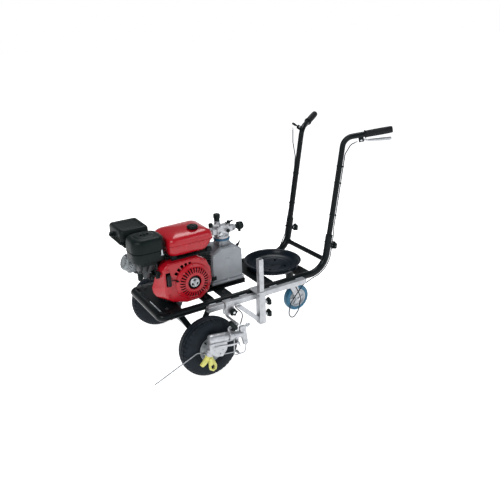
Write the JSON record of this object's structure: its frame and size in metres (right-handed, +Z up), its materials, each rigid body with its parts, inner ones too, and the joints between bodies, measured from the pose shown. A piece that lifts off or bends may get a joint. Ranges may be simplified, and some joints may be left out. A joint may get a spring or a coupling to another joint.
{
  "type": "line striping machine",
  "caption": "Walk-behind pavement line striper: tube frame on pneumatic wheels and a swivel caster, petrol engine driving a paint pump, a side spray gun and a bucket tray.",
  "frame": {"origin": "bottom centre of the whole machine, on the ground under the middle of its bounding box", "axes": "+Z up, +Y towards the handles (rearward, the machine's length), +X the machine's left side, where the spray gun hangs"},
  "size_m": [0.696, 1.3286, 0.9918],
  "materials": {
    "frame_black": "satin black paint",
    "engine_cast": "dark cast, matt",
    "head_cast": "cast, slightly dull",
    "red_paint": "gloss red paint",
    "silver_metal": "satin plated steel",
    "pump_grey": "matt cast grey",
    "steel": "plain steel",
    "tyre_rubber": "matt tyre rubber",
    "grip_rubber": "matt rubber",
    "caster_tread": "teal-blue solid tread",
    "rim_grey": "pale grey paint",
    "black_plastic": "matt black moulding",
    "yellow_plastic": "yellow moulding",
    "blue_ring": "blue ring"
  },
  "bodies": {
    "chassis": {"accessory_rail": "silver_metal", "air_cleaner": "black_plastic", "axle_bracket_left": "frame_black", "axle_bracket_right": "frame_black", "base_plate": "frame_black", "bucket_tray": "frame_black", "carburettor": "head_cast", "caster_crossmember": "frame_black", "cylinder_head": "head_cast", "drive_belt": "grip_rubber", "drive_cover": "frame_black", "engine_crankcase": "engine_cast", "fan_cover": "red_paint", "frame_crossbar": "frame_black", "frame_front_tube": "frame_black", "frame_side_tube_left": "frame_black", "frame_side_tube_right": "frame_black", "front_axle": "steel", "fuel_tank": "red_paint", "height_sleeve": "silver_metal", "muffler": "frame_black", "pump_head": "silver_metal", "pump_housing": "pump_grey", "pump_ring": "blue_ring", "recoil_housing": "red_paint", "swivel_lock_cable": "grip_rubber", "tray_crossmember": "frame_black", "trigger_cable": "grip_rubber"},
    "wheel_left": {"front_tyre_left": "tyre_rubber", "front_rim_left": "rim_grey"},
    "wheel_right": {"front_tyre_right": "tyre_rubber", "front_rim_right": "rim_grey"},
    "caster_swivel": {"caster_fork": "silver_metal"},
    "caster_wheel": {"caster_tyre": "caster_tread", "caster_hub": "rim_grey"},
    "handle_left": {"handle_tube_left": "frame_black", "grip_left": "grip_rubber"},
    "handle_right": {"handle_tube_right": "frame_black", "grip_right": "grip_rubber"},
    "squeeze_lever": {"lever_left": "silver_metal"},
    "forward_lever": {"lever_right": "black_plastic"},
    "clamp_knob_left": {"handle_knob_left": "black_plastic"},
    "clamp_knob_right": {"handle_knob_right": "black_plastic"},
    "post": {"height_post": "silver_metal"},
    "post_clamp_upper": {"post_knob_upper": "black_plastic"},
    "post_clamp_lower": {"post_knob_lower": "black_plastic"},
    "carriage": {"gun_carriage": "silver_metal", "gun_arm": "silver_metal", "gun_body": "silver_metal", "tip_guard": "yellow_plastic"},
    "carriage_clamp": {"carriage_knob": "black_plastic"},
    "trigger": {"gun_trigger": "steel"},
    "tip": {"spray_tip": "yellow_plastic"},
    "pointer": {"guide_pointer": "steel"},
    "crank": {"crankshaft": "steel", "starter_pulley": "steel"},
    "pump_drive": {"pump_shaft": "steel"},
    "pull_handle": {"starter_handle": "black_plastic"},
    "tank_cap": {"fuel_cap": "black_plastic"},
    "pressure_dial": {"pressure_knob": "black_plastic"}
  },
  "joints": [
    {"name": "wheel_left_roll", "type": "hinge", "parent": "chassis", "child": "wheel_left", "pos_m": [0.255, -0.3715, 0.14], "axis": [1, 0, 0], "continuous": true},
    {"name": "wheel_right_roll", "type": "hinge", "parent": "chassis", "child": "wheel_right", "pos_m": [-0.308, -0.3715, 0.14], "axis": [1, 0, 0], "continuous": true},
    {"name": "caster_swivel_turn", "type": "hinge", "parent": "chassis", "child": "caster_swivel", "pos_m": [-0.0265, 0.2685, 0.156], "axis": [0, 0, 1], "continuous": true},
    {"name": "caster_wheel_roll", "type": "hinge", "parent": "caster_swivel", "child": "caster_wheel", "pos_m": [-0.0265, 0.3085, 0.072], "axis": [1, 0, 0], "continuous": true},
    {"name": "handle_left_slide", "type": "slide", "parent": "chassis", "child": "handle_left", "axis": [0, 0.1599, 0.9871], "range_m": [0, 0.045]},
    {"name": "handle_right_slide", "type": "slide", "parent": "chassis", "child": "handle_right", "axis": [0, 0.1599, 0.9871], "range_m": [0, 0.045]},
    {"name": "squeeze_lever_pull", "type": "hinge", "parent": "handle_left", "child": "squeeze_lever", "pos_m": [0.18982, 0.53908, 0.92696], "axis": [-0.8135, 0.5815, 0], "range_deg": [-7, 0], "stiffness_Nm_per_rad": 1.5, "springref_deg": 5.73},
    {"name": "forward_lever_pull", "type": "hinge", "parent": "handle_right", "child": "forward_lever", "pos_m": [-0.20661, 0.45836, 0.94394], "axis": [0.9077, 0.0417, 0.4175], "range_deg": [-20, 0], "stiffness_Nm_per_rad": 1, "springref_deg": 11.46},
    {"name": "handle_knob_left_turn", "type": "hinge", "parent": "chassis", "child": "clamp_knob_left", "pos_m": [0.1415, 0.4105, 0.39984], "axis": [0, 0.9871, -0.1599], "range_deg": [0, 360]},
    {"name": "handle_knob_right_turn", "type": "hinge", "parent": "chassis", "child": "clamp_knob_right", "pos_m": [-0.1945, 0.4105, 0.39984], "axis": [0, 0.9871, -0.1599], "range_deg": [0, 360]},
    {"name": "post_height", "type": "slide", "parent": "chassis", "child": "post", "axis": [0, 0, 1], "range_m": [-0.08, 0.1]},
    {"name": "post_knob_upper_turn", "type": "hinge", "parent": "chassis", "child": "post_clamp_upper", "pos_m": [0.2013, -0.0398, 0.234], "axis": [0, 1, 0], "range_deg": [0, 360]},
    {"name": "post_knob_lower_turn", "type": "hinge", "parent": "chassis", "child": "post_clamp_lower", "pos_m": [0.2013, -0.0398, 0.172], "axis": [0, 1, 0], "range_deg": [0, 360]},
    {"name": "carriage_slide", "type": "slide", "parent": "chassis", "child": "carriage", "axis": [0, 1, 0], "range_m": [-0.008, 0.006]},
    {"name": "carriage_knob_turn", "type": "hinge", "parent": "carriage", "child": "carriage_clamp", "pos_m": [0.1927, -0.2075, 0.235], "axis": [1, 0, 0], "range_deg": [0, 360]},
    {"name": "trigger_pull", "type": "hinge", "parent": "carriage", "child": "trigger", "pos_m": [0.3255, -0.264, 0.174], "axis": [1, 0, 0], "range_deg": [0, 15], "stiffness_Nm_per_rad": 0.5, "springref_deg": -5.73},
    {"name": "tip_flip", "type": "hinge", "parent": "carriage", "child": "tip", "pos_m": [0.3255, -0.40779, 0.12932], "axis": [1, 0, 0], "range_deg": [0, 180]},
    {"name": "pointer_swing", "type": "hinge", "parent": "carriage", "child": "pointer", "pos_m": [0.3015, -0.2535, 0.0935], "axis": [1, 0, 0], "range_deg": [-40, 0]},
    {"name": "crank_spin", "type": "hinge", "parent": "chassis", "child": "crank", "pos_m": [-0.0265, -0.3615, 0.404], "axis": [1, 0, 0], "continuous": true},
    {"name": "pump_shaft_spin", "type": "hinge", "parent": "chassis", "child": "pump_drive", "pos_m": [-0.1265, -0.1565, 0.404], "axis": [1, 0, 0], "continuous": true},
    {"name": "starter_pull", "type": "slide", "parent": "chassis", "child": "pull_handle", "axis": [1, 0, 0], "range_m": [0, 0.3], "stiffness_N_per_m": 25},
    {"name": "fuel_cap_turn", "type": "hinge", "parent": "chassis", "child": "tank_cap", "pos_m": [0.0545, -0.3155, 0.6303], "axis": [0, 0, 1], "range_deg": [0, 90]},
    {"name": "pressure_knob_turn", "type": "hinge", "parent": "chassis", "child": "pressure_dial", "pos_m": [-0.0165, -0.0611, 0.558], "axis": [0, 1, 0], "range_deg": [0, 270]}
  ],
  "couplings": [
    {"joint": "pump_shaft_spin", "follows": "crank_spin", "ratio": 0.72}
  ]
}
